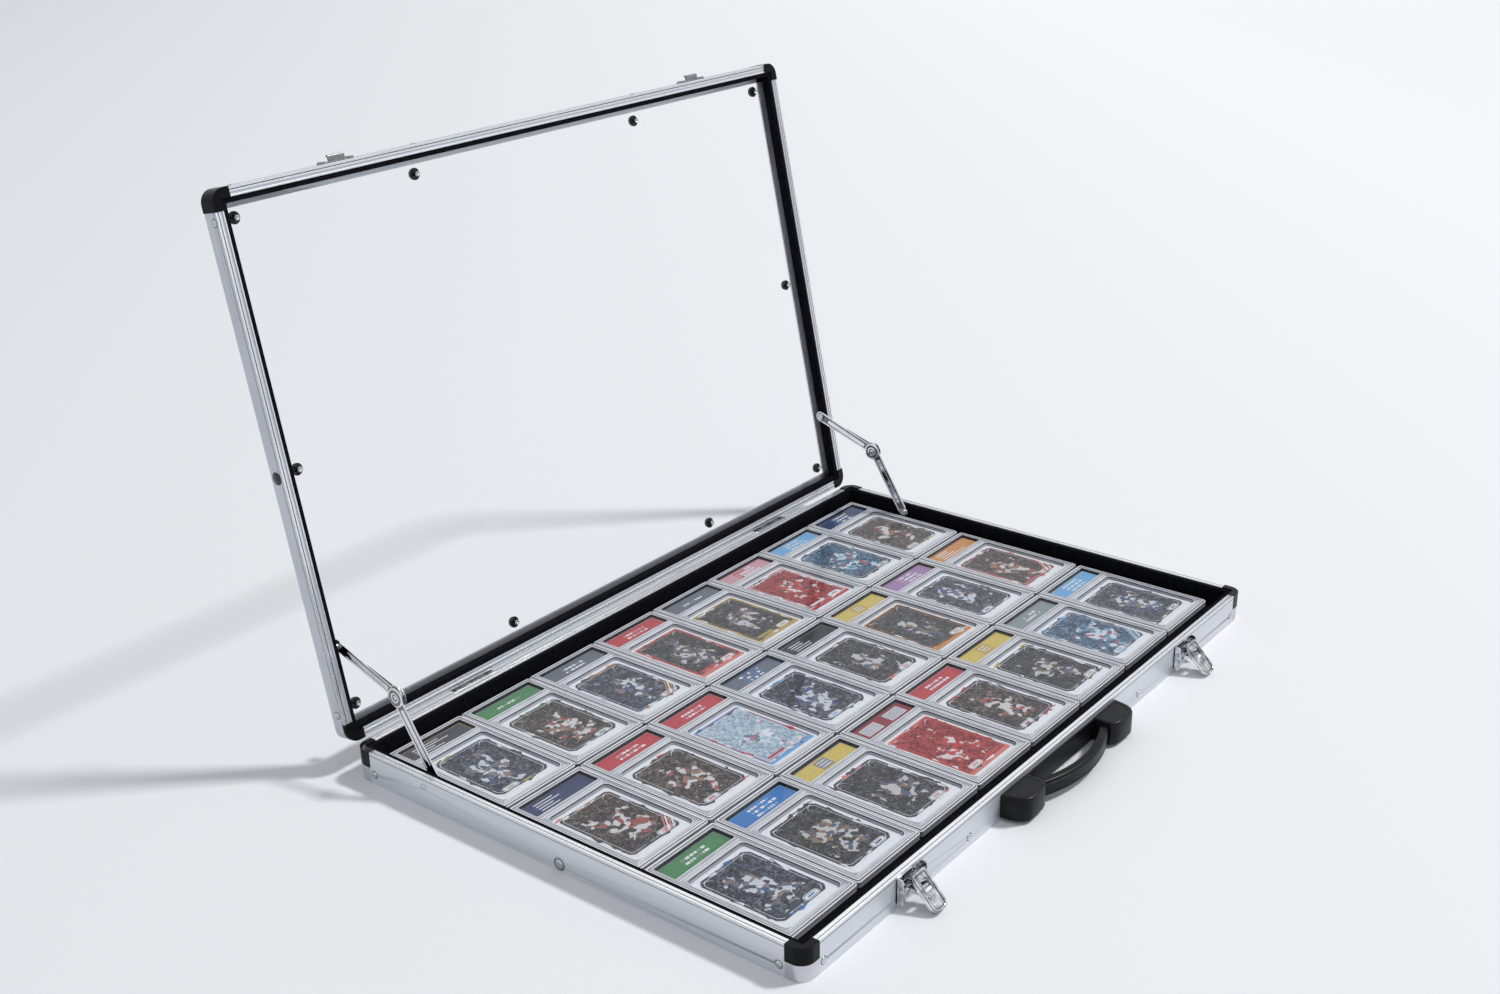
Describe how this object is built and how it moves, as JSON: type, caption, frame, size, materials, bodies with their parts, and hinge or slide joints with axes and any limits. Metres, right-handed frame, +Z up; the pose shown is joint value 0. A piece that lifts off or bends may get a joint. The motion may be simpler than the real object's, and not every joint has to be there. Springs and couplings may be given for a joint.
{
  "type": "card display case",
  "caption": "Shallow aluminium carrying case with a clear-windowed lid held open by folding stays, filled with rows of clear card slabs.",
  "frame": {"origin": "centre of the tray's outline, on the surface the case lies on", "axes": "+X to the right seen from the handle, +Y from the handle to the hinges, +Z up"},
  "size_m": [0.7038, 0.601, 0.4805],
  "materials": {
    "rail_aluminium": "satin anodised",
    "corner_aluminium": "satin",
    "cap_plastic": "gloss moulded",
    "panel_laminate": "matt",
    "lining": "black felt",
    "pad_foam": "black foam",
    "rivet_steel": "domed, bright",
    "hinge_steel": "plated",
    "latch_chrome": "polished",
    "stay_chrome": "plated",
    "handle_plastic": "moulded, fine grain",
    "window_clear": "clear, gloss",
    "foot_rubber": "moulded",
    "slab_clear": "clear with a frosted edge"
  },
  "bodies": {
    "tray": {"base_front_rail": "rail_aluminium", "base_back_rail": "rail_aluminium", "base_left_rail": "rail_aluminium", "base_right_rail": "rail_aluminium", "base_corner_brackets": "corner_aluminium", "base_corner_caps": "cap_plastic", "base_bottom_panel": "panel_laminate", "base_wall_lining": "lining", "base_floor_pad": "pad_foam", "base_rivets": "rivet_steel", "hinge_base_leaves": "hinge_steel", "hinge_pins": "hinge_steel", "latch_base_plates": "latch_chrome", "handle_backplate": "handle_plastic", "handle_brackets": "handle_plastic"},
    "lid": {"lid_front_rail": "rail_aluminium", "lid_back_rail": "rail_aluminium", "lid_left_rail": "rail_aluminium", "lid_right_rail": "rail_aluminium", "lid_corner_brackets": "corner_aluminium", "lid_corner_caps": "cap_plastic", "lid_window": "window_clear", "lid_wall_lining": "lining", "window_feet": "foot_rubber", "lid_rivets": "rivet_steel", "hinge_lid_leaves": "hinge_steel", "latch_catches": "latch_chrome"},
    "handle": {"handle_grip": "handle_plastic"},
    "stay_left_lower": {"stay_left_lower_arm": "stay_chrome"},
    "stay_left_upper": {"stay_left_upper_arm": "stay_chrome"},
    "latch_left_link_body": {"latch_left_link": "latch_chrome"},
    "latch_left_lever_body": {"latch_left_lever": "latch_chrome"},
    "stay_right_lower": {"stay_right_lower_arm": "stay_chrome"},
    "stay_right_upper": {"stay_right_upper_arm": "stay_chrome"},
    "latch_right_link_body": {"latch_right_link": "latch_chrome"},
    "latch_right_lever_body": {"latch_right_lever": "latch_chrome"},
    "slab_r1_c1": {"card_slab_r1_c1": "slab_clear"},
    "slab_r1_c2": {"card_slab_r1_c2": "slab_clear"},
    "slab_r1_c3": {"card_slab_r1_c3": "slab_clear"},
    "slab_r1_c4": {"card_slab_r1_c4": "slab_clear"},
    "slab_r1_c5": {"card_slab_r1_c5": "slab_clear"},
    "slab_r1_c6": {"card_slab_r1_c6": "slab_clear"},
    "slab_r1_c7": {"card_slab_r1_c7": "slab_clear"},
    "slab_r1_c8": {"card_slab_r1_c8": "slab_clear"},
    "slab_r2_c1": {"card_slab_r2_c1": "slab_clear"},
    "slab_r2_c2": {"card_slab_r2_c2": "slab_clear"},
    "slab_r2_c3": {"card_slab_r2_c3": "slab_clear"},
    "slab_r2_c4": {"card_slab_r2_c4": "slab_clear"},
    "slab_r2_c5": {"card_slab_r2_c5": "slab_clear"},
    "slab_r2_c6": {"card_slab_r2_c6": "slab_clear"},
    "slab_r2_c7": {"card_slab_r2_c7": "slab_clear"},
    "slab_r2_c8": {"card_slab_r2_c8": "slab_clear"},
    "slab_r3_c1": {"card_slab_r3_c1": "slab_clear"},
    "slab_r3_c2": {"card_slab_r3_c2": "slab_clear"},
    "slab_r3_c3": {"card_slab_r3_c3": "slab_clear"},
    "slab_r3_c4": {"card_slab_r3_c4": "slab_clear"},
    "slab_r3_c5": {"card_slab_r3_c5": "slab_clear"},
    "slab_r3_c6": {"card_slab_r3_c6": "slab_clear"},
    "slab_r3_c7": {"card_slab_r3_c7": "slab_clear"},
    "slab_r3_c8": {"card_slab_r3_c8": "slab_clear"}
  },
  "joints": [
    {"name": "lid_hinge", "type": "hinge", "parent": "tray", "child": "lid", "pos_m": [0, 0.2314, 0.0259], "axis": [-1, 0, 0], "range_deg": [-101.5, 0]},
    {"name": "stay_left_lower_pivot", "type": "hinge", "parent": "tray", "child": "stay_left_lower", "pos_m": [-0.3373, 0.148, 0.0195], "axis": [-1, 0, 0], "range_deg": [-117, 0]},
    {"name": "stay_left_upper_pivot", "type": "hinge", "parent": "lid", "child": "stay_left_upper", "pos_m": [-0.3355, 0.25596, 0.10601], "axis": [-1, 0, 0], "range_deg": [0, 115.9]},
    {"name": "latch_left_link_pivot", "type": "hinge", "parent": "tray", "child": "latch_left_link_body", "pos_m": [-0.224, -0.2326, 0.017], "axis": [1, 0, 0], "range_deg": [-70.7, 0]},
    {"name": "latch_left_lever_pivot", "type": "hinge", "parent": "latch_left_link_body", "child": "latch_left_lever_body", "pos_m": [-0.224, -0.24268, 0.0163], "axis": [1, 0, 0], "range_deg": [0, 114.8]},
    {"name": "stay_right_lower_pivot", "type": "hinge", "parent": "tray", "child": "stay_right_lower", "pos_m": [0.3373, 0.148, 0.0195], "axis": [-1, 0, 0], "range_deg": [-117, 0]},
    {"name": "stay_right_upper_pivot", "type": "hinge", "parent": "lid", "child": "stay_right_upper", "pos_m": [0.3355, 0.25596, 0.10601], "axis": [-1, 0, 0], "range_deg": [0, 115.9]},
    {"name": "latch_right_link_pivot", "type": "hinge", "parent": "tray", "child": "latch_right_link_body", "pos_m": [0.224, -0.2326, 0.017], "axis": [1, 0, 0], "range_deg": [-70.7, 0]},
    {"name": "latch_right_lever_pivot", "type": "hinge", "parent": "latch_right_link_body", "child": "latch_right_lever_body", "pos_m": [0.224, -0.24268, 0.0163], "axis": [1, 0, 0], "range_deg": [0, 114.8]},
    {"name": "handle_pivot", "type": "hinge", "parent": "tray", "child": "handle", "pos_m": [0, -0.2395, 0.013], "axis": [-1, 0, 0], "range_deg": [-12, 80]},
    {"name": "slab_r1_c1_lift", "type": "slide", "parent": "tray", "child": "slab_r1_c1", "axis": [0, 0, 1], "range_m": [0, 0.06]},
    {"name": "slab_r1_c2_lift", "type": "slide", "parent": "tray", "child": "slab_r1_c2", "axis": [0, 0, 1], "range_m": [0, 0.06]},
    {"name": "slab_r1_c3_lift", "type": "slide", "parent": "tray", "child": "slab_r1_c3", "axis": [0, 0, 1], "range_m": [0, 0.06]},
    {"name": "slab_r1_c4_lift", "type": "slide", "parent": "tray", "child": "slab_r1_c4", "axis": [0, 0, 1], "range_m": [0, 0.06]},
    {"name": "slab_r1_c5_lift", "type": "slide", "parent": "tray", "child": "slab_r1_c5", "axis": [0, 0, 1], "range_m": [0, 0.06]},
    {"name": "slab_r1_c6_lift", "type": "slide", "parent": "tray", "child": "slab_r1_c6", "axis": [0, 0, 1], "range_m": [0, 0.06]},
    {"name": "slab_r1_c7_lift", "type": "slide", "parent": "tray", "child": "slab_r1_c7", "axis": [0, 0, 1], "range_m": [0, 0.06]},
    {"name": "slab_r1_c8_lift", "type": "slide", "parent": "tray", "child": "slab_r1_c8", "axis": [0, 0, 1], "range_m": [0, 0.06]},
    {"name": "slab_r2_c1_lift", "type": "slide", "parent": "tray", "child": "slab_r2_c1", "axis": [0, 0, 1], "range_m": [0, 0.06]},
    {"name": "slab_r2_c2_lift", "type": "slide", "parent": "tray", "child": "slab_r2_c2", "axis": [0, 0, 1], "range_m": [0, 0.06]},
    {"name": "slab_r2_c3_lift", "type": "slide", "parent": "tray", "child": "slab_r2_c3", "axis": [0, 0, 1], "range_m": [0, 0.06]},
    {"name": "slab_r2_c4_lift", "type": "slide", "parent": "tray", "child": "slab_r2_c4", "axis": [0, 0, 1], "range_m": [0, 0.06]},
    {"name": "slab_r2_c5_lift", "type": "slide", "parent": "tray", "child": "slab_r2_c5", "axis": [0, 0, 1], "range_m": [0, 0.06]},
    {"name": "slab_r2_c6_lift", "type": "slide", "parent": "tray", "child": "slab_r2_c6", "axis": [0, 0, 1], "range_m": [0, 0.06]},
    {"name": "slab_r2_c7_lift", "type": "slide", "parent": "tray", "child": "slab_r2_c7", "axis": [0, 0, 1], "range_m": [0, 0.06]},
    {"name": "slab_r2_c8_lift", "type": "slide", "parent": "tray", "child": "slab_r2_c8", "axis": [0, 0, 1], "range_m": [0, 0.06]},
    {"name": "slab_r3_c1_lift", "type": "slide", "parent": "tray", "child": "slab_r3_c1", "axis": [0, 0, 1], "range_m": [0, 0.06]},
    {"name": "slab_r3_c2_lift", "type": "slide", "parent": "tray", "child": "slab_r3_c2", "axis": [0, 0, 1], "range_m": [0, 0.06]},
    {"name": "slab_r3_c3_lift", "type": "slide", "parent": "tray", "child": "slab_r3_c3", "axis": [0, 0, 1], "range_m": [0, 0.06]},
    {"name": "slab_r3_c4_lift", "type": "slide", "parent": "tray", "child": "slab_r3_c4", "axis": [0, 0, 1], "range_m": [0, 0.06]},
    {"name": "slab_r3_c5_lift", "type": "slide", "parent": "tray", "child": "slab_r3_c5", "axis": [0, 0, 1], "range_m": [0, 0.06]},
    {"name": "slab_r3_c6_lift", "type": "slide", "parent": "tray", "child": "slab_r3_c6", "axis": [0, 0, 1], "range_m": [0, 0.06]},
    {"name": "slab_r3_c7_lift", "type": "slide", "parent": "tray", "child": "slab_r3_c7", "axis": [0, 0, 1], "range_m": [0, 0.06]},
    {"name": "slab_r3_c8_lift", "type": "slide", "parent": "tray", "child": "slab_r3_c8", "axis": [0, 0, 1], "range_m": [0, 0.06]}
  ],
  "couplings": [
    {"joint": "stay_left_lower_pivot", "follows": "lid_hinge", "ratio": 1.1524},
    {"joint": "stay_left_upper_pivot", "follows": "lid_hinge", "ratio": -1.1416},
    {"joint": "latch_left_lever_pivot", "follows": "latch_left_link_pivot", "ratio": -1.6223},
    {"joint": "stay_right_lower_pivot", "follows": "lid_hinge", "ratio": 1.1524},
    {"joint": "stay_right_upper_pivot", "follows": "lid_hinge", "ratio": -1.1416},
    {"joint": "latch_right_lever_pivot", "follows": "latch_right_link_pivot", "ratio": -1.6223}
  ]
}
